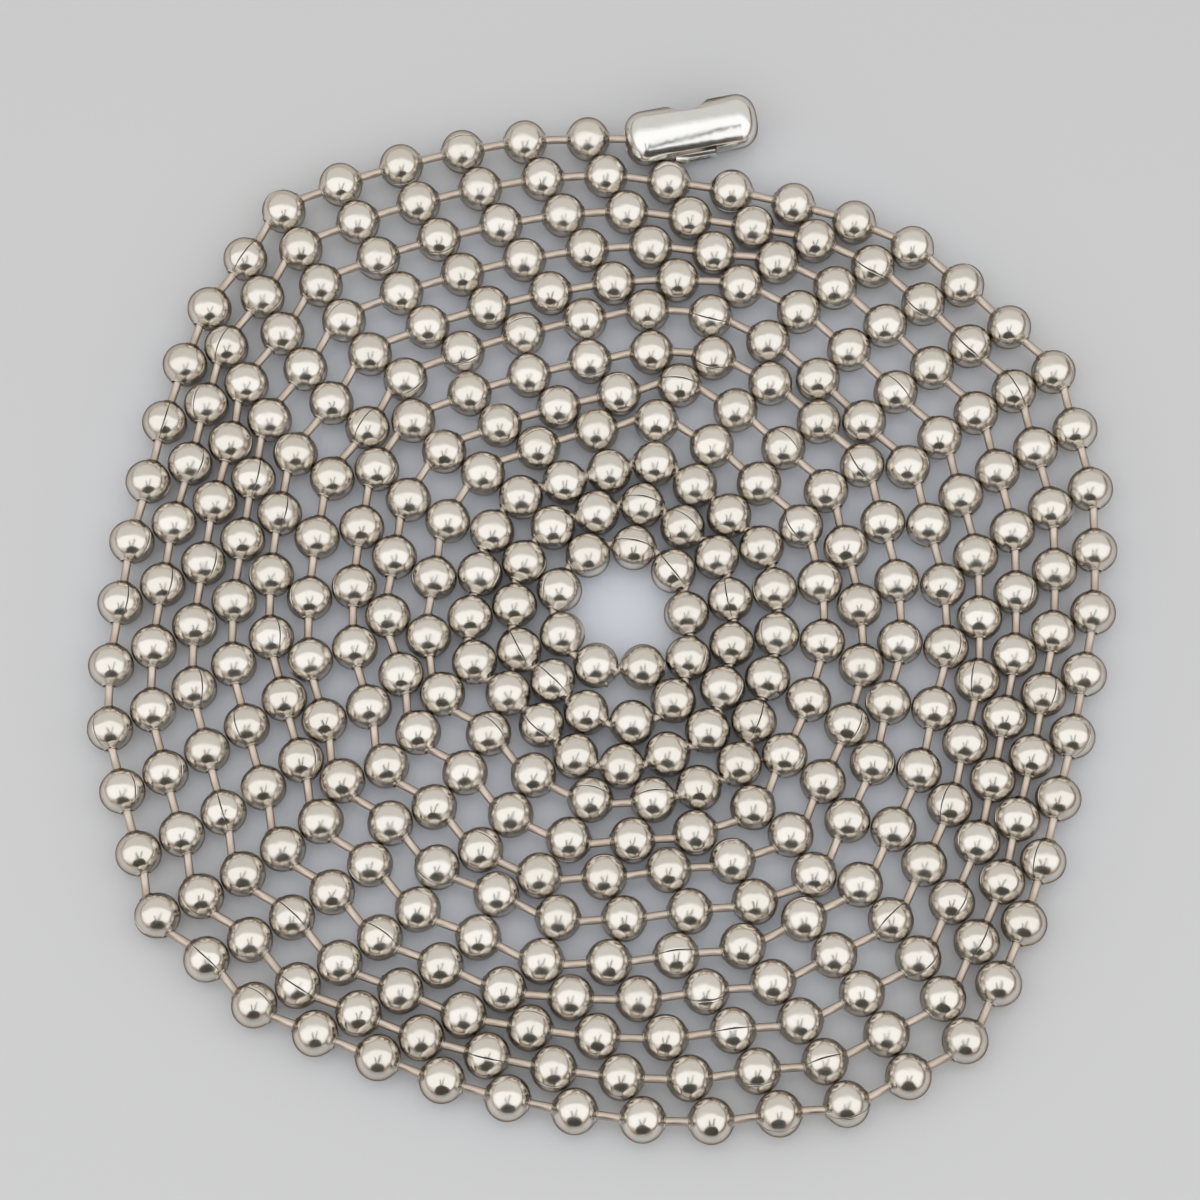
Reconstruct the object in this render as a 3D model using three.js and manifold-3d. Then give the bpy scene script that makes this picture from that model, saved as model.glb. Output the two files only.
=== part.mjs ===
// Bead chain of a roller blind: hollow metal beads on link pins, wound into a flat coil,
// with the connector that joins the two ends of the chain still on the outer end.
// Millimetres, +Z up. The coil lies on the plane z = 0, centred on the origin.
import * as THREE from "three";
import Module from "manifold-3d";
import { mergeGeometries, mergeVertices } from "three/addons/utils/BufferGeometryUtils.js";

// Bead: a strip of sheet rolled into a ball, open at both poles and along its seam
const BEAD_DIAMETER = 4.5;
const BEAD_LENGTH = 4.2;
const BEAD_WALL = 0.3;
const HOLE_DIAMETER = 1.3;
const SEAM_WIDTH = 0.12;
const SEAM_ROLL = -120;

// Link pin: a wire shank with a head inside each of its two beads
const PIN_DIAMETER = 0.82;
const PIN_HEAD_DIAMETER = 1.5;
const PIN_HEAD_LENGTH = 0.6;
const HEAD_CLEARANCE = 0.3;
const SHANK_SHOWN_TAUT = 2.25;
const SHANK_SHOWN_CLOSED = 0.39;

// Connector: sheet folded to a tube with round ends, a slot for the pins along its far side,
// turned up a little, a round entry for a bead in the middle of the slot and a window with a
// turned lip on the near side. Angles in degrees.
const CONNECTOR_LENGTH = 13.6;
const CONNECTOR_WALL = 0.4;
const CONNECTOR_CLEARANCE = 0.15;
const CONNECTOR_END_ROUND = 2.0;
const SLOT_CLEARANCE = 0.3;
const SLOT_TURNED_UP = 12;
const ENTRY_CLEARANCE = 0.1;
const WINDOW_LENGTH = 4.2;
const WINDOW_HEIGHT = 2.0;
const LIP_THICKNESS = 0.3;
const LIP_REACH = 0.5;
const CONNECTOR_SWUNG_OUT = 12;

// Coil, wound clockwise from its inner end so that each bead comes to lie against the turn
// inside it. Angles in degrees. The tight inner bends push the links closed, and they draw
// out to taut over the turns that follow.
const COIL_BEADS = 344;
const COIL_CLEARANCE = 0.02;
const START_HEADING = -140;
const FIRST_RING_LINKS = 12;
const FIRST_RING_BEND = 42;
const SHARPEST_BEND = 40;
const CLOSED_LINKS = 47;
const OPENING_LINKS = 107;
const SHANK_SHOWN_OPENING = 1.85;

// Fused stretches of beads and pins, shorter over the tight inner beads, and the small gap
// between one and the next
const RUN_BEADS = 8;
const INNER_RUN_BEADS = 3;
const INNER_BEADS = 24;
const RUN_GAP = 0.3;
const FREE_END_BEADS = 2;

// Facets, and where the two wide rings of a fused bead lie as a share of its length
const BEAD_SIDES = 5;
const PIN_SIDES = 3;
const HOLLOW_SIDES = 6;
const CONNECTOR_SIDES = 12;
const RING_SHARE = 0.18;
const TINY = 1e-6;

const BEAD_R = BEAD_DIAMETER / 2;
const PIN_R = PIN_DIAMETER / 2;
const NECK_R = 1.2 * PIN_R;
const HINGE_AT = (BEAD_LENGTH - BEAD_WALL) / 2;
const TAUT_PITCH = BEAD_LENGTH + SHANK_SHOWN_TAUT;
const CLOSED_PITCH = BEAD_LENGTH + SHANK_SHOWN_CLOSED;
const CONNECTOR_R = BEAD_R + CONNECTOR_CLEARANCE + CONNECTOR_WALL;
const SEAT_FROM_END = CONNECTOR_WALL + CONNECTOR_CLEARANCE + BEAD_LENGTH / 2;

const rad = THREE.MathUtils.degToRad;
const wasm = await Module();
wasm.setup();

const beadMetal = new THREE.MeshStandardMaterial({ color: 0xc9bba6, roughness: 0.3, metalness: 1 });
const pinMetal = new THREE.MeshStandardMaterial({ color: 0xd3c1ab, roughness: 0.4, metalness: 1 });
const connectorMetal = new THREE.MeshStandardMaterial({ color: 0xdcdcd6, roughness: 0.18, metalness: 1 });

// How far apart two beads lie on the link with this number
function linkPitch(link) {
  if (link < CLOSED_LINKS) return CLOSED_PITCH;
  const drawn = Math.min(1, (link - CLOSED_LINKS) / OPENING_LINKS);
  return BEAD_LENGTH + SHANK_SHOWN_OPENING + (SHANK_SHOWN_TAUT - SHANK_SHOWN_OPENING) * drawn;
}

// The next place along the coil: the sharpest clockwise bend that keeps it at least
// spacing away from every earlier bead
function nextPlace(beads, heading, pitch, spacing, bend) {
  const last = beads.at(-1);
  const near = beads.slice(0, -1).filter((bead) => bead.distanceTo(last) < pitch + spacing);
  const headings = [heading - bend];
  for (const bead of near) {
    const apart = bead.distanceTo(last);
    const along = (pitch ** 2 - spacing ** 2 + apart ** 2) / (2 * apart);
    if (Math.abs(along) > pitch) continue;
    const bearing = Math.atan2(bead.y - last.y, bead.x - last.x);
    const spread = Math.acos(along / pitch);
    headings.push(bearing + spread, bearing - spread);
  }
  let best = null;
  for (const angle of headings) {
    const turn = Math.atan2(Math.sin(angle - heading), Math.cos(angle - heading));
    if (turn < -bend - TINY || (best && turn >= best.turn)) continue;
    const place = new THREE.Vector2(Math.cos(angle), Math.sin(angle)).multiplyScalar(pitch).add(last);
    const clear = near.every((bead) => bead.distanceTo(place) > spacing - TINY);
    if (clear) best = { turn, place, heading: heading + turn };
  }
  return best;
}

// Bead centres from the inner end to the outer end, and the heading of the last link
function windCoil() {
  const beads = [new THREE.Vector2(0, 0)];
  let heading = rad(START_HEADING);
  for (let link = 0; link < COIL_BEADS - 1; link++) {
    const bend = rad(link < FIRST_RING_LINKS ? FIRST_RING_BEND : SHARPEST_BEND);
    const next = nextPlace(beads, heading, linkPitch(link), BEAD_DIAMETER + COIL_CLEARANCE, bend);
    beads.push(next.place);
    heading = next.heading;
  }
  return { beads, heading };
}

// A ring of points round a centre, square to a level direction
function ring(centre, along, sides, radius, firstAngle) {
  const side = new THREE.Vector3(-along.y, along.x, 0);
  const up = new THREE.Vector3(0, 0, 1);
  const points = [];
  for (let k = 0; k < sides; k++) {
    const angle = firstAngle + (2 * Math.PI * k) / sides;
    const point = centre.clone().addScaledVector(side, radius * Math.cos(angle));
    points.push(point.addScaledVector(up, radius * Math.sin(angle)));
  }
  return { points, firstAngle };
}

// One closed body through a row of rings, with flat ends
function skin(rings) {
  const positions = rings.flatMap((r) => r.points.flatMap((p) => [p.x, p.y, p.z]));
  const starts = [];
  let count = 0;
  for (const r of rings) {
    starts.push(count);
    count += r.points.length;
  }
  const faces = [];
  for (let k = 1; k < rings.length; k++) {
    faces.push(...band(rings[k - 1], rings[k], starts[k - 1], starts[k]));
  }
  const lastStart = starts.at(-1);
  for (let k = 1; k < rings[0].points.length - 1; k++) faces.push(0, k + 1, k);
  for (let k = 1; k < rings.at(-1).points.length - 1; k++) {
    faces.push(lastStart, lastStart + k, lastStart + k + 1);
  }
  const geometry = new THREE.BufferGeometry();
  geometry.setAttribute("position", new THREE.Float32BufferAttribute(positions, 3));
  geometry.setIndex(faces);
  return geometry;
}

// Triangles between two rings that may differ in their number of points
function band(back, front, backStart, frontStart) {
  const m = back.points.length;
  const n = front.points.length;
  const step = (2 * Math.PI) / n;
  const skipped = Math.ceil((back.firstAngle - front.firstAngle) / step - TINY);
  const frontAngle = front.firstAngle + skipped * step;
  const frontIndex = (j) => frontStart + ((((j + skipped) % n) + n) % n);
  const faces = [];
  let i = 0;
  let j = 0;
  while (i < m || j < n) {
    const nextBack = back.firstAngle + (2 * Math.PI * (i + 1)) / m;
    const nextFront = frontAngle + step * (j + 1);
    if (j >= n || (i < m && nextBack <= nextFront)) {
      faces.push(backStart + (i % m), backStart + ((i + 1) % m), frontIndex(j));
      i++;
    } else {
      faces.push(backStart + (i % m), frontIndex(j + 1), frontIndex(j));
      j++;
    }
  }
  return faces;
}

// Level direction of a bead's own axis: halfway between the links on its two sides
function beadAxes(beads) {
  return beads.map((bead, k) => {
    const before = beads[Math.max(0, k - 1)];
    const after = beads[Math.min(beads.length - 1, k + 1)];
    const back = bead.clone().sub(before).normalize();
    const ahead = after.clone().sub(bead).normalize();
    return back.add(ahead).normalize();
  });
}

function level(point, height) {
  return new THREE.Vector3(point.x, point.y, height);
}

function facing(heading) {
  return new THREE.Vector3(Math.cos(heading), Math.sin(heading), 0);
}

// The rings of one fused bead, from neck to neck
function beadRings(place, axis) {
  const centre = level(place, BEAD_R);
  const along = level(axis, 0);
  const at = (distance) => centre.clone().addScaledVector(along, distance);
  return [
    ring(at(-BEAD_LENGTH / 2), along, PIN_SIDES, NECK_R, Math.PI / 2),
    ring(at(-RING_SHARE * BEAD_LENGTH), along, BEAD_SIDES, BEAD_R, -Math.PI / 2),
    ring(at(RING_SHARE * BEAD_LENGTH), along, BEAD_SIDES, BEAD_R, Math.PI / 2),
    ring(at(BEAD_LENGTH / 2), along, PIN_SIDES, NECK_R, Math.PI / 2),
  ];
}

// Whether two neighbours on the chain are pushed together, so that hardly any pin shows
function isClosed(beads, first) {
  return beads[first].distanceTo(beads[first + 1]) < BEAD_LENGTH + 2 * RUN_GAP;
}

// All rings of a fused run. Two beads that are pushed together share one neck
function runRings(beads, axes, first, last) {
  const rings = beadRings(beads[first], axes[first]);
  for (let k = first + 1; k <= last; k++) {
    if (isClosed(beads, k - 1)) rings.pop();
    rings.push(...beadRings(beads[k], axes[k]));
  }
  return rings;
}

// The end of the pin that leaves a fused run: it stops a small gap short of the next run
function stubRings(beads, axes, last) {
  if (isClosed(beads, last)) return [];
  const from = level(beads[last], BEAD_R).addScaledVector(level(axes[last], 0), BEAD_LENGTH / 2);
  const to = level(beads[last + 1], BEAD_R).addScaledVector(level(axes[last + 1], 0), -BEAD_LENGTH / 2);
  const along = to.clone().sub(from).normalize();
  return [ring(to.addScaledVector(along, -RUN_GAP), along, PIN_SIDES, NECK_R, Math.PI / 2)];
}

// The end of the pin that leaves the last fused run, with its head inside a hollow bead
function headRings(beads, axes, last) {
  const along = level(axes[last + 1], 0);
  const hinge = level(beads[last + 1], BEAD_R).addScaledVector(along, -HINGE_AT);
  const at = (distance) => hinge.clone().addScaledVector(along, distance);
  const shoulder = BEAD_WALL / 2 + HEAD_CLEARANCE;
  return [
    ring(at(-BEAD_WALL), along, PIN_SIDES, NECK_R, Math.PI / 2),
    ring(at(shoulder), along, PIN_SIDES, NECK_R, Math.PI / 2),
    ring(at(shoulder + PIN_HEAD_LENGTH / 2), along, BEAD_SIDES, PIN_HEAD_DIAMETER / 2, Math.PI / 2),
    ring(at(shoulder + PIN_HEAD_LENGTH), along, PIN_SIDES, NECK_R, Math.PI / 2),
  ];
}

// First and last bead of each fused run
function splitRuns(count) {
  const runs = [];
  let first = 0;
  while (first < count) {
    const size = first < INNER_BEADS ? INNER_RUN_BEADS : RUN_BEADS;
    const next = Math.min(first + size, count);
    runs.push([first, next - 1]);
    first = next;
  }
  return runs;
}

// A closed turned body about the X axis, from (radius, distance) pairs
function turned(profile, sides) {
  const geometry = new THREE.LatheGeometry(profile.map(([r, x]) => new THREE.Vector2(r, x)), sides);
  return geometry.rotateZ(-Math.PI / 2);
}

// Drops everything but the positions and joins the points that coincide
function welded(geometry) {
  geometry.deleteAttribute("normal");
  geometry.deleteAttribute("uv");
  return mergeVertices(geometry, 1e-4);
}

function toSolid(geometry) {
  const closed = welded(geometry);
  const mesh = new wasm.Mesh({
    numProp: 3,
    vertProperties: new Float32Array(closed.attributes.position.array),
    triVerts: new Uint32Array(closed.index.array),
  });
  return new wasm.Manifold(mesh);
}

function toGeometry(solid) {
  const mesh = solid.getMesh();
  const geometry = new THREE.BufferGeometry();
  geometry.setAttribute("position", new THREE.BufferAttribute(mesh.vertProperties, 3));
  geometry.setIndex(new THREE.BufferAttribute(mesh.triVerts, 1));
  return geometry;
}

// Half a wall section of a bead, from hole to hole, on an ellipse
function shellArc(radius, halfLength) {
  const edge = Math.acos(HOLE_DIAMETER / 2 / radius);
  const pole = halfLength / Math.sin(edge);
  return [1, 0.5, 0, -0.5, -1].map(
    (share) => new THREE.Vector2(radius * Math.cos(share * edge), pole * Math.sin(share * edge)),
  );
}

function flipped(geometry) {
  const corners = geometry.index.array;
  for (let k = 0; k < corners.length; k += 3) {
    [corners[k + 1], corners[k + 2]] = [corners[k + 2], corners[k + 1]];
  }
  return geometry;
}

// Hollow bead about the X axis: a closed wall section swept almost all the way round from
// its seam, and the two faces of the seam, rolled so that the seam lies underneath
function hollowBead() {
  const outer = shellArc(BEAD_R, BEAD_LENGTH / 2);
  const inner = shellArc(BEAD_R - BEAD_WALL, BEAD_LENGTH / 2 - BEAD_WALL);
  const section = [...inner, ...outer.reverse()];
  const open = SEAM_WIDTH / BEAD_R;
  const wall = new THREE.LatheGeometry([...section, section[0]], HOLLOW_SIDES, open / 2, 2 * Math.PI - open);
  const face = new THREE.ShapeGeometry(new THREE.Shape(section));
  const startFace = face.clone().rotateY(open / 2 - Math.PI / 2);
  const endFace = flipped(face.clone().rotateY(-open / 2 - Math.PI / 2));
  const bead = mergeGeometries([wall, startFace, endFace]).rotateZ(-Math.PI / 2);
  return welded(bead.rotateX(rad(SEAM_ROLL)));
}

// Pin about the X axis, centred, for hinges this far apart
function linkPin(span) {
  const shankEnd = span / 2 + BEAD_WALL / 2 + HEAD_CLEARANCE;
  const headMiddle = shankEnd + PIN_HEAD_LENGTH / 2;
  const tip = shankEnd + PIN_HEAD_LENGTH;
  const half = [
    [PIN_R, shankEnd],
    [PIN_HEAD_DIAMETER / 2, headMiddle],
    [0, tip],
  ];
  const otherHalf = half.map(([r, x]) => [r, -x]).reverse();
  return toGeometry(toSolid(turned([...otherHalf, ...half], HOLLOW_SIDES)));
}

// Closed tube with rounded ends about the X axis
function capsule(length, radius, round) {
  const half = [];
  for (const angle of [90, 45, 0]) {
    const r = radius - round + round * Math.cos(rad(angle));
    const x = length / 2 - round + round * Math.sin(rad(angle));
    half.unshift([r, x]);
  }
  half.push([0, length / 2]);
  const otherHalf = half.map(([r, x]) => [r, -x]).reverse();
  return turned([...otherHalf, ...half], CONNECTOR_SIDES);
}

// Connector about the X axis, centred, with its slot towards +Y
function connectorBody() {
  const wall = CONNECTOR_WALL;
  const slotWidth = PIN_DIAMETER + 2 * SLOT_CLEARANCE;
  const entryR = BEAD_R + ENTRY_CLEARANCE;
  const outside = toSolid(capsule(CONNECTOR_LENGTH, CONNECTOR_R, CONNECTOR_END_ROUND));
  const insideLength = CONNECTOR_LENGTH - 2 * wall;
  const inside = toSolid(capsule(insideLength, CONNECTOR_R - wall, CONNECTOR_END_ROUND - wall));
  const reach = CONNECTOR_R + wall;
  const slot = new THREE.BoxGeometry(CONNECTOR_LENGTH + 2 * wall, reach + slotWidth / 2, slotWidth);
  slot.translate(0, (reach - slotWidth / 2) / 2, 0).rotateX(rad(SLOT_TURNED_UP));
  const entry = new THREE.CylinderGeometry(entryR, entryR, reach, CONNECTOR_SIDES);
  entry.translate(0, reach / 2, 0).rotateX(rad(SLOT_TURNED_UP));
  const opening = new THREE.BoxGeometry(WINDOW_LENGTH, reach, WINDOW_HEIGHT);
  opening.translate(0, -reach / 2, 0);
  const lip = new THREE.BoxGeometry(WINDOW_LENGTH, LIP_REACH + wall, LIP_THICKNESS);
  const lipHeight = -(WINDOW_HEIGHT + LIP_THICKNESS) / 2;
  const wallAt = Math.sqrt(CONNECTOR_R ** 2 - lipHeight ** 2);
  lip.translate(0, -wallAt - (LIP_REACH - wall) / 2, lipHeight);
  const tube = outside.subtract(inside).subtract(toSolid(slot)).subtract(toSolid(entry));
  return toGeometry(tube.subtract(toSolid(opening)).add(toSolid(lip)));
}

function addPiece(name, geometry, material) {
  const mesh = new THREE.Mesh(geometry, material);
  mesh.name = name;
  chain.add(mesh);
  return mesh;
}

// Sets a piece made about the X axis along a direction
function laid(mesh, centre, along) {
  mesh.position.copy(centre);
  mesh.quaternion.setFromUnitVectors(new THREE.Vector3(1, 0, 0), along.clone().normalize());
}

// The pin between two hollow beads, set so that its heads sit evenly in both
function addPin(name, from, to) {
  const start = from.centre.clone().addScaledVector(from.along, HINGE_AT);
  const end = to.centre.clone().addScaledVector(to.along, -HINGE_AT);
  const pin = addPiece(name, linkPin(TAUT_PITCH - 2 * HINGE_AT), pinMetal);
  laid(pin, start.clone().add(end).multiplyScalar(0.5), end.sub(start));
}

function addBead(name, bead) {
  laid(addPiece(name, hollowBead(), beadMetal), bead.centre, bead.along);
}

const chain = new THREE.Group();

// The coil and, past its last bead, the bead that is held in the connector
const { beads, heading } = windCoil();
const seatSpacing = CONNECTOR_R + BEAD_R + COIL_CLEARANCE;
const seat = nextPlace(beads, heading, TAUT_PITCH, seatSpacing, rad(SHARPEST_BEND));
const route = [...beads, seat.place];
const axes = beadAxes(route);

const fusedCount = COIL_BEADS - FREE_END_BEADS;
splitRuns(fusedCount).forEach(([first, last], number) => {
  const isLastRun = last === fusedCount - 1;
  const pinEnd = isLastRun ? headRings(route, axes, last) : stubRings(route, axes, last);
  const name = `chain_run_${String(number + 1).padStart(2, "0")}`;
  addPiece(name, skin([...runRings(route, axes, first, last), ...pinEnd]), beadMetal);
});

// The free end: hollow beads, the pins between them and the connector
const freeBeads = [];
for (let k = fusedCount; k < COIL_BEADS; k++) {
  freeBeads.push({ centre: level(route[k], BEAD_R), along: level(axes[k], 0) });
}
const swungOut = rad(CONNECTOR_SWUNG_OUT);
const connectorAxis = facing(seat.heading + swungOut);
const heldBead = { centre: level(seat.place, CONNECTOR_R), along: facing(seat.heading + swungOut / 2) };
freeBeads.forEach((bead, k) => {
  addBead(`end_bead_${k + 1}`, bead);
  addPin(`link_pin_${k + 1}`, bead, freeBeads[k + 1] ?? heldBead);
});
addBead("held_bead", heldBead);
const connector = addPiece("connector", connectorBody(), connectorMetal);
const connectorMiddle = CONNECTOR_LENGTH / 2 - SEAT_FROM_END;
laid(connector, heldBead.centre.clone().addScaledVector(connectorAxis, connectorMiddle), connectorAxis);

// Centred over the origin
const middle = new THREE.Box3().setFromObject(chain).getCenter(new THREE.Vector3());
chain.position.set(-middle.x, -middle.y, 0);
const part = new THREE.Group();
part.add(chain);

export default part;
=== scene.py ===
"""Looks of a roller blind's bead chain: every bead with its seam, rims and holes, every link pin
with its two heads, and the folded connector, in a coil on a pale floor."""

import math
import random

import bmesh
import bpy
import numpy as np
from mathutils import Matrix, Vector


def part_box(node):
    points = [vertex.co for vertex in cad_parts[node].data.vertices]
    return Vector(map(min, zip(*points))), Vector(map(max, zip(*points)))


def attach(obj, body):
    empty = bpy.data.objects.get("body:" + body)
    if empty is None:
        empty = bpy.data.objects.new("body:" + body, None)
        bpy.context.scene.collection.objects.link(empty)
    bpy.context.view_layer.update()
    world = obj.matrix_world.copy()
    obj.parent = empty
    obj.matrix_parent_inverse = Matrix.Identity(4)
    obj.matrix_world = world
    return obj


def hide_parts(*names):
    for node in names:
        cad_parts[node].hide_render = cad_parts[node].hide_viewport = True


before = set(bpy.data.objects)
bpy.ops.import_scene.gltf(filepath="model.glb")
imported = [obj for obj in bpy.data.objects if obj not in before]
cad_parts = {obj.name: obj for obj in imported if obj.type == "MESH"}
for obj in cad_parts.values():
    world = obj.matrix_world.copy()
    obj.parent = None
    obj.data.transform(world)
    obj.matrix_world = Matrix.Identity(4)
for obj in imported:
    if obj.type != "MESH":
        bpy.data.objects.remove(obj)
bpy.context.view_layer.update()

# Millimetres and degrees, the same sizes as the solids have, but for the slot, which is wider
# here by the bevel
BEAD_DIAMETER = 4.5
BEAD_LENGTH = 4.2
BEAD_WALL = 0.3
SEAM_ROLL = -120
PIN_DIAMETER = 0.82
PIN_HEAD_DIAMETER = 1.5
PIN_HEAD_LENGTH = 0.6
HEAD_CLEARANCE = 0.3
SHANK_SHOWN_TAUT = 2.25
SHANK_SHOWN_CLOSED = 0.39
SHANK_SHOWN_OPENING = 1.85
CONNECTOR_LENGTH = 13.6
CONNECTOR_WALL = 0.4
CONNECTOR_CLEARANCE = 0.15
CONNECTOR_END_ROUND = 2.0
CONNECTOR_SWUNG_OUT = 12
SLOT_CLEARANCE = 0.3
SLOT_TURNED_UP = 12
ENTRY_CLEARANCE = 0.1
WINDOW_LENGTH = 4.2
WINDOW_HEIGHT = 2.0
LIP_THICKNESS = 0.3
LIP_REACH = 0.5
COIL_BEADS = 344
COIL_CLEARANCE = 0.02
START_HEADING = -140
FIRST_RING_LINKS = 12
FIRST_RING_BEND = 42
SHARPEST_BEND = 40
CLOSED_LINKS = 47
OPENING_LINKS = 107
RUN_BEADS = 8
INNER_RUN_BEADS = 3
INNER_BEADS = 24
FREE_END_BEADS = 2

# Fine details that only the visible pieces have, in millimetres and degrees too
SEAM_WIDTH = 0.09
SEAM_EDGE_ROUND = 0.05
SEAM_BORDER = 0.16
HOLE_RADIUS = 0.6
HOLE_TAPER = 0.01
RIM_OUTER_RADIUS = 0.82
RIM_HEIGHT = 0.075
RIM_FOOT_IN = 0.06
RIM_FOOT_DOWN = 0.02
RIM_SHOULDER_IN = 0.11
RIM_CREST_OUT = 0.05
PIN_DEPTH_CLOSED = 1.7
EDGE_BEVEL = 0.07
BEVELLED_FROM = 40
SHARP_FROM = 35
LIP_SLOPE = 49

# Shares: of the seam edge's rounding, away from the seam and down; of the rim's height; of the
# bead's wall; of a pin head's radius and length; and of the connector's sideways normal
SEAM_EDGE_STEPS = (0.0, 0.35, 1.0)
SEAM_EDGE_DROPS = (1.0, 0.3, 0.0)
RIM_SHOULDER_UP = 0.8
OUTER_PART_OF_WALL = 0.6
PIN_HEAD_SECTION = ((0.78, 0.22), (0.95, 0.5), (0.78, 0.8), (0.35, 1.0))
FLATTER_FRONT = 0.6

# How finely the round forms are divided
OUTSIDE_POINTS = 13
INSIDE_POINTS = 9
BEAD_COLUMNS = 26
PIN_SIDES = 14
CONNECTOR_SIDES = 96
END_ROUND_STEPS = 12

MM = 0.001
TINY = 1e-6
WELD = 1e-5

BEAD_R = BEAD_DIAMETER / 2
PIN_R = PIN_DIAMETER / 2
HINGE_AT = (BEAD_LENGTH - BEAD_WALL) / 2
TAUT_PITCH = BEAD_LENGTH + SHANK_SHOWN_TAUT
CLOSED_PITCH = BEAD_LENGTH + SHANK_SHOWN_CLOSED
CONNECTOR_R = BEAD_R + CONNECTOR_CLEARANCE + CONNECTOR_WALL
SEAT_FROM_END = CONNECTOR_WALL + CONNECTOR_CLEARANCE + BEAD_LENGTH / 2


# The coil, bead by bead, by the same rule as the solids follow


def link_pitch(link):
    if link < CLOSED_LINKS:
        return CLOSED_PITCH
    drawn = min(1, (link - CLOSED_LINKS) / OPENING_LINKS)
    return BEAD_LENGTH + SHANK_SHOWN_OPENING + (SHANK_SHOWN_TAUT - SHANK_SHOWN_OPENING) * drawn


def next_place(beads, heading, pitch, spacing, bend):
    """The next bead's place, and the heading of its link: the sharpest clockwise bend that keeps
    it at least spacing from every other bead."""
    last = beads[-1]
    near = [bead for bead in beads[:-1] if math.dist(bead, last) < pitch + spacing]
    headings = [heading - bend]
    for bead in near:
        apart = math.dist(bead, last)
        along = (pitch**2 - spacing**2 + apart**2) / (2 * apart)
        if abs(along) > pitch:
            continue
        bearing = math.atan2(bead[1] - last[1], bead[0] - last[0])
        spread = math.acos(along / pitch)
        headings += [bearing + spread, bearing - spread]
    best = None
    for angle in headings:
        turn = math.atan2(math.sin(angle - heading), math.cos(angle - heading))
        if turn < -bend - TINY or (best and turn >= best[0]):
            continue
        place = (last[0] + pitch * math.cos(angle), last[1] + pitch * math.sin(angle))
        if all(math.dist(bead, place) > spacing - TINY for bead in near):
            best = (turn, place, heading + turn)
    return best[1:]


def wind_coil():
    beads = [(0.0, 0.0)]
    heading = math.radians(START_HEADING)
    spacing = BEAD_DIAMETER + COIL_CLEARANCE
    for link in range(COIL_BEADS - 1):
        bend = math.radians(FIRST_RING_BEND if link < FIRST_RING_LINKS else SHARPEST_BEND)
        place, heading = next_place(beads, heading, link_pitch(link), spacing, bend)
        beads.append(place)
    return beads, heading


def facing(heading):
    return Vector((math.cos(heading), math.sin(heading), 0))


def bead_axis(route, k):
    """Halfway between the directions of the links on the bead's two sides."""
    before = Vector(route[max(0, k - 1)])
    here = Vector(route[k])
    after = Vector(route[min(len(route) - 1, k + 1)])
    back = (here - before).normalized() if k > 0 else Vector((0, 0))
    ahead = (after - here).normalized() if k < len(route) - 1 else Vector((0, 0))
    return (back + ahead).normalized().to_3d()


def lay_chain():
    """Centre and axis of every bead, the last of them held in the connector, and its axis."""
    beads, heading = wind_coil()
    spacing = CONNECTOR_R + BEAD_R + COIL_CLEARANCE
    bend = math.radians(SHARPEST_BEND)
    seat, heading = next_place(beads, heading, TAUT_PITCH, spacing, bend)
    route = [*beads, seat]
    chain = []
    for k in range(COIL_BEADS):
        chain.append((Vector((*route[k], BEAD_R)), bead_axis(route, k)))
    swung_out = math.radians(CONNECTOR_SWUNG_OUT)
    chain.append((Vector((*seat, CONNECTOR_R)), facing(heading + swung_out / 2)))
    return chain, facing(heading + swung_out)


def pin_ends(chain, link):
    """The two hinge points of the pin between one bead and the next."""
    (start, start_axis), (end, end_axis) = chain[link], chain[link + 1]
    return start + HINGE_AT * start_axis, end - HINGE_AT * end_axis


def split_runs(count):
    """First bead and end of each run, shorter runs where the chain bends most."""
    runs = []
    first = 0
    while first < count:
        size = INNER_RUN_BEADS if first < INNER_BEADS else RUN_BEADS
        runs.append((first, min(first + size, count)))
        first = runs[-1][1]
    return runs


# Mesh building: points and faces in millimetres, about the X axis


def full_circle(sides):
    return [2 * math.pi * k / sides for k in range(sides)]


def turned(profile, angles, closed_round=False, closed_section=False):
    """Points and faces of a profile of (radius, x) swept round X through the angles."""
    points = np.array(
        [(x, r * math.cos(a), r * math.sin(a)) for a in angles for r, x in profile]
    )
    n, columns = len(profile), len(angles)
    faces = []
    for j in range(columns if closed_round else columns - 1):
        here, there = j * n, (j + 1) % columns * n
        for i in range(n if closed_section else n - 1):
            after = (i + 1) % n
            faces.append((here + i, here + after, there + after, there + i))
    return points, faces


def shell_arc(radius, half_length, hole, stop, count):
    """(radius, x) along an ellipse that would meet the hole at half_length, out to stop."""
    pole = half_length / math.sin(math.acos(hole / radius))
    edge = math.acos(stop / radius)
    shares = [1 - 2 * k / (count - 1) for k in range(count)]
    return [(radius * math.cos(s * edge), pole * math.sin(s * edge)) for s in shares]


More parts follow.
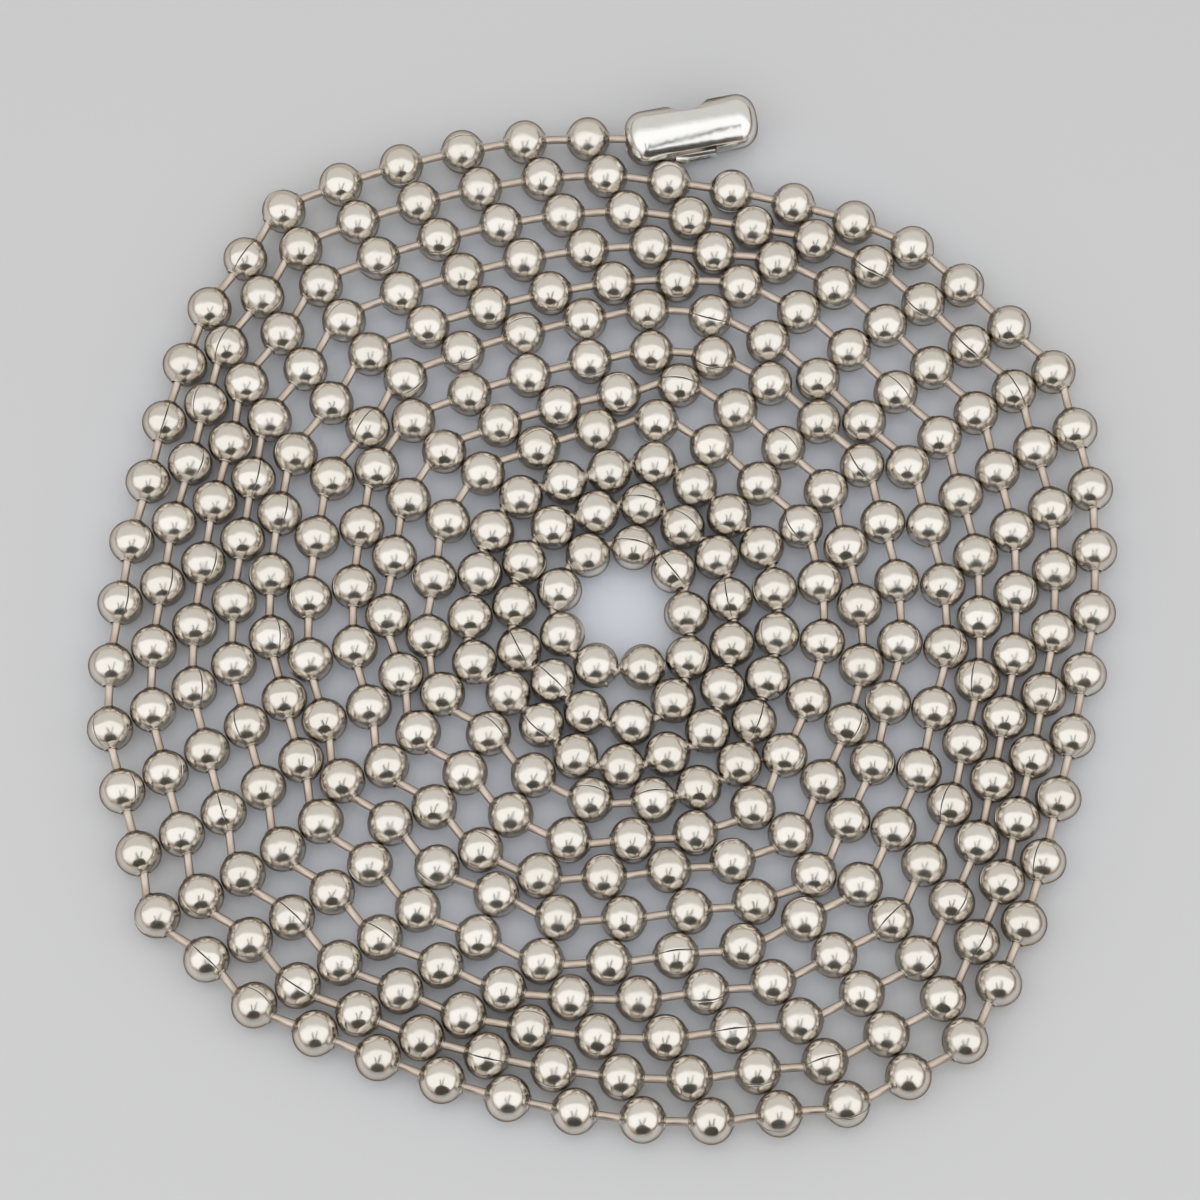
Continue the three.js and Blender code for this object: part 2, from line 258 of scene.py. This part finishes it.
def bead_profile():
    """Closed section of the bead's wall: outside, rim, hole, inside, hole, rim."""
    half = BEAD_LENGTH / 2
    outside = shell_arc(BEAD_R, half, HOLE_RADIUS, RIM_OUTER_RADIUS, OUTSIDE_POINTS)
    inside = shell_arc(
        BEAD_R - BEAD_WALL, half - BEAD_WALL, HOLE_RADIUS, RIM_OUTER_RADIUS, INSIDE_POINTS
    )
    rim = [
        (RIM_OUTER_RADIUS - RIM_FOOT_IN, half - RIM_FOOT_DOWN),
        (RIM_OUTER_RADIUS - RIM_SHOULDER_IN, half + RIM_SHOULDER_UP * RIM_HEIGHT),
        (HOLE_RADIUS + RIM_CREST_OUT, half + RIM_HEIGHT),
        (HOLE_RADIUS, half),
        (HOLE_RADIUS + HOLE_TAPER, half - BEAD_WALL),
    ]
    left_rim = [(r, -x) for r, x in reversed(rim)]
    return [*rim, *inside, *left_rim, *reversed(outside)]


def bead_mesh():
    """One rolled bead, its seam open from pole to pole, with rounded seam edges."""
    half_open = SEAM_WIDTH / BEAD_R / 2
    edge = [half_open + share * SEAM_EDGE_ROUND / BEAD_R for share in SEAM_EDGE_STEPS]
    start = half_open + SEAM_BORDER / BEAD_R
    plain = 2 * math.pi - 2 * start
    middle = [start + plain * k / (BEAD_COLUMNS - 1) for k in range(BEAD_COLUMNS)]
    angles = [*edge, *middle, *[2 * math.pi - angle for angle in reversed(edge)]]
    drops = [share * SEAM_EDGE_ROUND for share in SEAM_EDGE_DROPS]
    sunk = [*drops, *[0.0] * BEAD_COLUMNS, *reversed(drops)]

    profile = bead_profile()
    n = len(profile)
    points, faces = turned(profile, angles, closed_section=True)
    for j, drop in enumerate(sunk):
        column = points[j * n : (j + 1) * n]
        radii = np.hypot(column[:, 1], column[:, 2])
        is_outside = radii > BEAD_R - OUTER_PART_OF_WALL * BEAD_WALL
        column[:, 1:] *= np.where(is_outside, 1 - drop / radii, 1.0)[:, None]
    last = (len(angles) - 1) * n
    caps = [tuple(reversed(range(n))), tuple(last + k for k in range(n))]
    return points, faces, caps


def pin_mesh(half_span):
    """A wire shank with a rounded head at each end; half_span runs from its middle to a head."""
    half = [(PIN_R, half_span)]
    for width, along in PIN_HEAD_SECTION:
        half.append((PIN_HEAD_DIAMETER / 2 * width, half_span + along * PIN_HEAD_LENGTH))
    profile = [*[(r, -x) for r, x in reversed(half)], *half]
    points, faces = turned(profile, full_circle(PIN_SIDES), closed_round=True)
    n = len(profile)
    caps = [
        tuple(n * k for k in range(PIN_SIDES)),
        tuple(n * k + n - 1 for k in reversed(range(PIN_SIDES))),
    ]
    return points, faces, caps


def axes_matrix(axis, roll):
    """Turns the X axis onto a direction, after a roll about it."""
    side = Vector((0, 0, 1)).cross(axis).normalized()
    up = axis.cross(side)
    base = Matrix((axis, side, up)).transposed()
    return np.array(base @ Matrix.Rotation(roll, 3, "X"))


def add_object(name, data):
    obj = bpy.data.objects.new(name, data)
    bpy.context.scene.collection.objects.link(obj)
    return obj


def set_tone(mesh, tones):
    """How light the metal is at each point, which its material reads."""
    attribute = mesh.attributes.new("piece_tone", "FLOAT", "POINT")
    attribute.data.foreach_set("value", np.array(tones, np.float32))


def mesh_object(name, parts, tones, material):
    """One mesh object of parts that are in place, each with points, smooth and flat faces."""
    points, faces, smooth, tone = [], [], [], []
    count = 0
    for (part_points, part_faces, part_caps), part_tone in zip(parts, tones):
        points.append(part_points)
        faces += [tuple(k + count for k in face) for face in [*part_faces, *part_caps]]
        smooth += [True] * len(part_faces) + [False] * len(part_caps)
        tone += [part_tone] * len(part_points)
        count += len(part_points)
    mesh = bpy.data.meshes.new(name)
    mesh.from_pydata((np.vstack(points) * MM).tolist(), [], faces)
    mesh.polygons.foreach_set("use_smooth", smooth)
    set_tone(mesh, tone)
    mesh.update()
    mesh.materials.append(material)
    return add_object(name, mesh)


# Materials

TONES = (0.1, 0.5)
FREE_END_TONE = 0.3
CLOUD_IN_TONE = 0.6
CLOUD_RANGE = (0.3, 0.7)
ROUGHNESS_RANGE = (0.8, 1.3)

# Scale and detail of the noise behind the wear, the wobble and the grain
CLOUD = (420.0, 4.0)
SWELL = (700.0, 1.0)
GRAIN = (9000.0, 2.0)


def new_material(name):
    material = bpy.data.materials.new(name)
    material.use_nodes = True
    nodes = material.node_tree.nodes
    return material, nodes, material.node_tree.links, nodes["Principled BSDF"]


def add_noise(nodes, links, place, scale, detail):
    noise = nodes.new("ShaderNodeTexNoise")
    noise.inputs["Scale"].default_value = scale
    noise.inputs["Detail"].default_value = detail
    links.new(place.outputs["Object"], noise.inputs["Vector"])
    return noise


def add_bump(nodes, links, noise, height):
    bump = nodes.new("ShaderNodeBump")
    bump.inputs["Distance"].default_value = height * MM
    links.new(noise.outputs["Fac"], bump.inputs["Height"])
    return bump


def map_range(nodes, links, value, limits):
    span = nodes.new("ShaderNodeMapRange")
    span.inputs["From Min"].default_value = limits[0]
    span.inputs["From Max"].default_value = limits[1]
    links.new(value, span.inputs["Value"])
    return span


def mix_colours(nodes, links, factor, first, second, shader):
    """The shader's colour: the first one at factor 0 and the second at 1."""
    mix = nodes.new("ShaderNodeMix")
    mix.data_type = "RGBA"
    mix.inputs["A"].default_value = (*first, 1)
    mix.inputs["B"].default_value = (*second, 1)
    links.new(factor, mix.inputs["Factor"])
    links.new(mix.outputs["Result"], shader.inputs["Base Color"])


def plated_metal(name, dark, light, edge, roughness, wobble, grain):
    """Plated sheet or wire: a tone a little different on each piece, a darker edge, cloudy wear
    in the roughness, a slow wobble of the surface and fine grain, the last two in millimetres."""
    material, nodes, links, shader = new_material(name)
    shader.inputs["Metallic"].default_value = 1.0
    shader.inputs["Specular Tint"].default_value = (*edge, 1)
    place = nodes.new("ShaderNodeTexCoord")
    cloud = add_noise(nodes, links, place, *CLOUD)

    tone = nodes.new("ShaderNodeAttribute")
    tone.attribute_name = "piece_tone"
    blend = nodes.new("ShaderNodeMath")
    blend.operation = "MULTIPLY_ADD"
    blend.inputs[1].default_value = CLOUD_IN_TONE
    links.new(cloud.outputs["Fac"], blend.inputs[0])
    links.new(tone.outputs["Fac"], blend.inputs[2])
    mix_colours(nodes, links, blend.outputs["Value"], dark, light, shader)

    rough = map_range(nodes, links, cloud.outputs["Fac"], CLOUD_RANGE)
    rough.inputs["To Min"].default_value = roughness * ROUGHNESS_RANGE[0]
    rough.inputs["To Max"].default_value = roughness * ROUGHNESS_RANGE[1]
    links.new(rough.outputs["Result"], shader.inputs["Roughness"])

    slow = add_bump(nodes, links, add_noise(nodes, links, place, *SWELL), wobble)
    fine = add_bump(nodes, links, add_noise(nodes, links, place, *GRAIN), grain)
    links.new(slow.outputs["Normal"], fine.inputs["Normal"])
    links.new(fine.outputs["Normal"], shader.inputs["Normal"])
    return material


metals = {
    "bead_metal": plated_metal(
        "plated_bead", dark=(0.73, 0.69, 0.62), light=(0.87, 0.84, 0.79),
        edge=(0.22, 0.13, 0.06), roughness=0.2, wobble=0.09, grain=0.001,
    ),
    "pin_metal": plated_metal(
        "plated_wire", dark=(0.60, 0.51, 0.43), light=(0.75, 0.66, 0.58),
        edge=(0.3, 0.2, 0.1), roughness=0.4, wobble=0.02, grain=0.001,
    ),
    "connector_metal": plated_metal(
        "plated_sheet", dark=(0.82, 0.81, 0.78), light=(0.91, 0.92, 0.91),
        edge=(0.3, 0.2, 0.12), roughness=0.16, wobble=0.03, grain=0.0006,
    ),
}


# The chain's pieces

laid, connector_axis = lay_chain()
pin_low, pin_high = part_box("link_pin_1")
first_free = COIL_BEADS - FREE_END_BEADS
pin_start, pin_end = pin_ends(laid, first_free)
shift = (pin_low + pin_high) / 2 / MM - (pin_start + pin_end) / 2
laid = [(centre + Vector((shift.x, shift.y, 0)), axis) for centre, axis in laid]

rng = random.Random(4507)
rolls = [rng.uniform(0, 2 * math.pi) for _ in laid]
bead_tones = [rng.uniform(*TONES) for _ in laid]
pin_tones = [rng.uniform(*TONES) for _ in laid]
for k in range(first_free, COIL_BEADS):
    rolls[k] = math.radians(SEAM_ROLL)

bead_points, bead_faces, bead_caps = bead_mesh()


def laid_bead(k):
    centre, axis = laid[k]
    turn = axes_matrix(axis, rolls[k])
    return bead_points @ turn.T + np.array(centre), bead_faces, bead_caps


def laid_pin(link):
    start, end = pin_ends(laid, link)
    span = (end - start).length
    taut_half = (TAUT_PITCH - 2 * HINGE_AT) / 2 + BEAD_WALL / 2 + HEAD_CLEARANCE
    half_span = min(taut_half, span / 2 + PIN_DEPTH_CLOSED - PIN_HEAD_LENGTH)
    points, faces, caps = pin_mesh(half_span)
    turn = axes_matrix((end - start).normalized(), 0.0)
    return points @ turn.T + np.array((start + end) / 2), faces, caps


for number, (first, end) in enumerate(split_runs(first_free), start=1):
    members = range(first, end)
    beads = mesh_object(
        f"chain_beads_{number:02d}",
        [laid_bead(k) for k in members],
        bead_tones[first:end],
        metals["bead_metal"],
    )
    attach(beads, "root")
    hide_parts(f"chain_run_{number:02d}")
    pins = mesh_object(
        f"chain_pins_{number:02d}",
        [laid_pin(k) for k in members],
        pin_tones[first:end],
        metals["pin_metal"],
    )
    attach(pins, "root")


def free_piece(name, part, slot, body, node):
    obj = mesh_object(name, [part], [FREE_END_TONE], metals[slot])
    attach(obj, body)
    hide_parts(node)


free_piece("outer_bead_1", laid_bead(first_free), "bead_metal", "root", "end_bead_1")
free_piece("outer_pin_1", laid_pin(first_free), "pin_metal", "pin_1", "link_pin_1")
free_piece("outer_bead_2", laid_bead(first_free + 1), "bead_metal", "bead_2", "end_bead_2")
free_piece("outer_pin_2", laid_pin(first_free + 1), "pin_metal", "pin_2", "link_pin_2")
free_piece("seated_bead", laid_bead(COIL_BEADS), "bead_metal", "connector_and_bead", "held_bead")


# The connector


def capsule(name, length, radius, corner):
    """A closed round body along X whose ends are rounded by corner."""
    half = [(0.0, length / 2)]
    for k in range(END_ROUND_STEPS + 1):
        angle = math.radians(90 * k / END_ROUND_STEPS)
        r = radius - corner + corner * math.sin(angle)
        half.append((r, length / 2 - corner + corner * math.cos(angle)))
    profile = [*half, *[(r, -x) for r, x in reversed(half)]]
    points, faces = turned(profile, full_circle(CONNECTOR_SIDES), closed_round=True)
    mesh = bpy.data.meshes.new(name)
    mesh.from_pydata(points.tolist(), [], faces)
    form = bmesh.new()
    form.from_mesh(mesh)
    bmesh.ops.remove_doubles(form, verts=form.verts, dist=WELD)
    bmesh.ops.dissolve_degenerate(form, edges=form.edges, dist=TINY)
    bmesh.ops.recalc_face_normals(form, faces=form.faces)
    form.to_mesh(mesh)
    form.free()
    return add_object(name, mesh)


def form_object(name, form, matrix):
    bmesh.ops.transform(form, matrix=matrix, verts=form.verts)
    mesh = bpy.data.meshes.new(name)
    form.to_mesh(mesh)
    form.free()
    return add_object(name, mesh)


def block(name, low, high):
    low, high = Vector(low), Vector(high)
    form = bmesh.new()
    bmesh.ops.create_cube(form, size=1)
    place = Matrix.Translation((high + low) / 2) @ Matrix.Diagonal((*(high - low), 1))
    return form_object(name, form, place)


def rod(name, radius, reach):
    """A cylinder from the X axis out along +Y."""
    form = bmesh.new()
    bmesh.ops.create_cone(
        form, segments=CONNECTOR_SIDES, radius1=radius, radius2=radius, depth=reach, cap_ends=True
    )
    turn = Matrix.Translation((0, reach / 2, 0)) @ Matrix.Rotation(math.pi / 2, 4, "X")
    return form_object(name, form, turn)


def connector_mesh():
    """The folded sheet with its slot, bead entry and window, and the lip turned out below it."""
    length, radius, wall = CONNECTOR_LENGTH, CONNECTOR_R, CONNECTOR_WALL
    reach = radius + wall
    slot_half = PIN_R + SLOT_CLEARANCE + EDGE_BEVEL
    body = capsule("connector_outside", length, radius, CONNECTOR_END_ROUND)
    hollow = capsule("inside", length - 2 * wall, radius - wall, CONNECTOR_END_ROUND - wall)
    slot = block("slot", (-length, -slot_half, -slot_half), (length, reach, slot_half))
    entry = rod("entry", BEAD_R + ENTRY_CLEARANCE, reach)
    for tool in (slot, entry):
        tool.matrix_world = Matrix.Rotation(math.radians(SLOT_TURNED_UP), 4, "X")
    half_long, half_high = WINDOW_LENGTH / 2, WINDOW_HEIGHT / 2
    gap = block("gap", (-half_long, -reach, -half_high), (half_long, 0, half_high))
    lip_at = -math.sqrt(radius**2 - (half_high + LIP_THICKNESS / 2) ** 2)
    lip = block("lip", (-half_long, -LIP_REACH, -LIP_THICKNESS), (half_long, wall, 0))
    slope = Matrix.Rotation(math.radians(LIP_SLOPE), 4, "X")
    lip.matrix_world = Matrix.Translation((0, lip_at, -half_high)) @ slope

    cuts = [("DIFFERENCE", tool) for tool in (hollow, slot, entry, gap)] + [("UNION", lip)]
    for operation, tool in cuts:
        change = body.modifiers.new(tool.name, "BOOLEAN")
        change.operation = operation
        change.solver = "EXACT"
        change.object = tool
    bevel = body.modifiers.new("bevel", "BEVEL")
    bevel.width = EDGE_BEVEL
    bevel.segments = 2
    bevel.limit_method = "ANGLE"
    bevel.angle_limit = math.radians(BEVELLED_FROM)
    bevel.harden_normals = True
    view = bpy.context.evaluated_depsgraph_get()
    view.update()
    mesh = bpy.data.meshes.new_from_object(body.evaluated_get(view))
    for obj in (body, *[tool for _, tool in cuts]):
        bpy.data.objects.remove(obj)
    return mesh


def flatten_front(mesh, turn):
    """Lets the near upper side mirror as a flatter sheet does, without a change of its form."""
    to_local = turn.to_3x3().inverted()
    normals = []
    for corner in mesh.corner_normals:
        local = to_local @ Vector(corner.vector)
        if local.y < 0 < local.z:
            local.y *= FLATTER_FRONT
        normals.append(to_local.transposed() @ local.normalized())
    mesh.normals_split_custom_set(normals)


def make_connector():
    mesh = connector_mesh()
    centre = laid[-1][0] + (CONNECTOR_LENGTH / 2 - SEAT_FROM_END) * connector_axis
    turn = Matrix(axes_matrix(connector_axis, 0.0).tolist()).to_4x4()
    mesh.transform(Matrix.Scale(MM, 4) @ Matrix.Translation(centre) @ turn)
    mesh.polygons.foreach_set("use_smooth", [True] * len(mesh.polygons))
    mesh.set_sharp_from_angle(angle=math.radians(SHARP_FROM))
    flatten_front(mesh, turn)
    set_tone(mesh, [FREE_END_TONE] * len(mesh.vertices))
    mesh.materials.clear()
    mesh.materials.append(metals["connector_metal"])
    obj = add_object("folded_connector", mesh)
    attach(obj, "connector_and_bead")
    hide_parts("connector")


make_connector()


# Stage: floor, light and what the metal mirrors, in metres

BACKDROP = (0.69, 0.67, 0.64)
DAYLIGHT = (0.965, 0.995, 1.05)
FLOOR_OUTSIDE = (0.64, 0.65, 0.665)
# Floor where the coil lies: bluer, and lighter than outside, as painted light that offsets the
# coil's shade
FLOOR_INSIDE_PAINTED_LIGHT = (0.73, 0.77, 0.85)
PAINTED_LIGHT_FADE = (0.036, 0.056)
FLOOR_GLOSS = 0.3
FLOOR_HALF = 3.0
CARD_DISTANCE = 0.7
CARD_FOOT = 0.002
STAND_DISTANCE = 0.42
STAND_COLOUR = (0.09, 0.085, 0.07)

# The camera, as it stood before the photograph's subject: degrees, and millimetres from the
# point that it looks at
VIEW_ELEVATION = math.radians(71.8)
VIEW_DISTANCE = 384.5
VIEW_TARGET = (-0.504, -0.309, BEAD_R)
LENS = 117.36
SENSOR = 36
TOWARD_CAMERA = Vector((0, -math.cos(VIEW_ELEVATION), math.sin(VIEW_ELEVATION)))
UP_IN_PICTURE = Vector((0, math.sin(VIEW_ELEVATION), math.cos(VIEW_ELEVATION)))


def flat_object(name, corners, material):
    mesh = bpy.data.meshes.new(name)
    mesh.from_pydata(corners, [], [tuple(range(len(corners)))])
    mesh.materials.append(material)
    obj = add_object(name, mesh)
    return obj


def make_floor():
    """Pale and nearly plain, a touch bluer where the coil lies, and lighter there: painted light
    against the shade that the coil casts.
    """
    material, nodes, links, shader = new_material("floor")
    place = nodes.new("ShaderNodeTexCoord")
    length = nodes.new("ShaderNodeVectorMath")
    length.operation = "LENGTH"
    links.new(place.outputs["Object"], length.inputs[0])
    # Fade from the painted lighter floor under the coil to the plain floor outside
    outside = map_range(nodes, links, length.outputs["Value"], PAINTED_LIGHT_FADE)
    mix_colours(nodes, links, outside.outputs["Result"], FLOOR_INSIDE_PAINTED_LIGHT, FLOOR_OUTSIDE, shader)
    shader.inputs["Roughness"].default_value = FLOOR_GLOSS
    shader.inputs["Specular IOR Level"].default_value = FLOOR_GLOSS
    half = FLOOR_HALF
    corners = [(-half, -half, 0), (half, -half, 0), (half, half, 0), (-half, half, 0)]
    flat_object("floor", corners, material)


def mirrored_card(name, corners, colour):
    """A matt card, seen only in the metal, and where it keeps low light off the floor."""
    material, _, _, shader = new_material(name)
    shader.inputs["Base Color"].default_value = (*colour, 1)
    shader.inputs["Roughness"].default_value = 1.0
    shader.inputs["Specular IOR Level"].default_value = 0.0
    obj = flat_object(name, corners, material)
    obj.visible_camera = False
    return obj


def make_flags():
    """Low cards round the coil, as they stand round a product on a light table."""
    away, foot = CARD_DISTANCE, CARD_FOOT
    sides = {
        "card_left": ((-away, -away), (-away, away), 0.12, (0.62, 0.52, 0.43)),
        "card_right": ((away, away), (away, -away), 0.16, (0.34, 0.25, 0.18)),
        "card_front": ((-away, -away), (away, -away), 0.17, (0.50, 0.35, 0.23)),
        "card_back": ((away, away), (-away, away), 0.12, (0.90, 0.80, 0.69)),
    }
    for name, (start, end, top, colour) in sides.items():
        corners = [(*start, foot), (*end, foot), (*end, top), (*start, top)]
        mirrored_card(name, corners, colour)


def mirrored_at(x, y, distance):
    """The point in the room that a bead mirrors at x to the right and y above its middle, both
    in bead radii, as the camera sees it."""
    depth = math.sqrt(1 - x * x - y * y)
    normal = x * Vector((1, 0, 0)) + y * UP_IN_PICTURE + depth * TOWARD_CAMERA
    return (2 * depth * normal - TOWARD_CAMERA) * distance


def make_dark_stand():
    """A dark stand in front of the coil, with two thin arms up to the camera: the small dark
    mark in each bead and the long dark band in the connector."""
    outlines = {
        "stand_body": [
            (-0.20, -0.54), (0.19, -0.56), (0.29, -0.45), (0.27, -0.31), (0.14, -0.22),
            (-0.12, -0.22), (-0.25, -0.31), (-0.29, -0.43),
        ],
        "stand_arm_left": [(-0.08, -0.22), (-0.02, -0.22), (-0.08, 0.04), (-0.125, 0.03)],
        "stand_arm_right": [(0.00, -0.22), (0.06, -0.22), (0.155, 0.10), (0.12, 0.12)],
    }
    for name, outline in outlines.items():
        corners = [mirrored_at(x, y, STAND_DISTANCE) for x, y in outline]
        card = mirrored_card(name, corners, STAND_COLOUR)
        card.visible_shadow = False
        card.visible_diffuse = False


def make_softbox(name, left, right, front, back, height, radiance):
    """An even panel above the table; its sides are given by where they reach."""
    data = bpy.data.lights.new(name, "AREA")
    data.shape = "RECTANGLE"
    data.size = right - left
    data.size_y = back - front
    data.energy = radiance * math.pi * data.size * data.size_y
    data.color = DAYLIGHT
    obj = add_object(name, data)
    obj.location = ((left + right) / 2, (front + back) / 2, height)


def make_light():
    """Two panels, one a little wider than the other, so that the light falls off softly."""
    make_softbox("softbox_inner", -1.9, 1.5, -0.90, 0.15, 0.50, 0.25)
    make_softbox("softbox_outer", -3.2, 2.6, -1.15, 0.22, 0.52, 0.21)


def make_world():
    world = bpy.data.worlds.new("studio")
    bpy.context.scene.world = world
    world.use_nodes = True
    world.node_tree.nodes["Background"].inputs["Color"].default_value = (*BACKDROP, 1)


def make_camera():
    data = bpy.data.cameras.new("camera")
    data.sensor_width = SENSOR
    data.lens = LENS
    data.clip_start = 0.01
    obj = add_object("camera", data)
    obj.location = Vector(VIEW_TARGET) * MM + TOWARD_CAMERA * VIEW_DISTANCE * MM
    obj.rotation_euler = (-TOWARD_CAMERA).to_track_quat("-Z", "Y").to_euler()
    bpy.context.scene.camera = obj


make_floor()
make_flags()
make_dark_stand()
make_light()
make_world()
make_camera()
bpy.context.scene.view_settings.view_transform = "Standard"
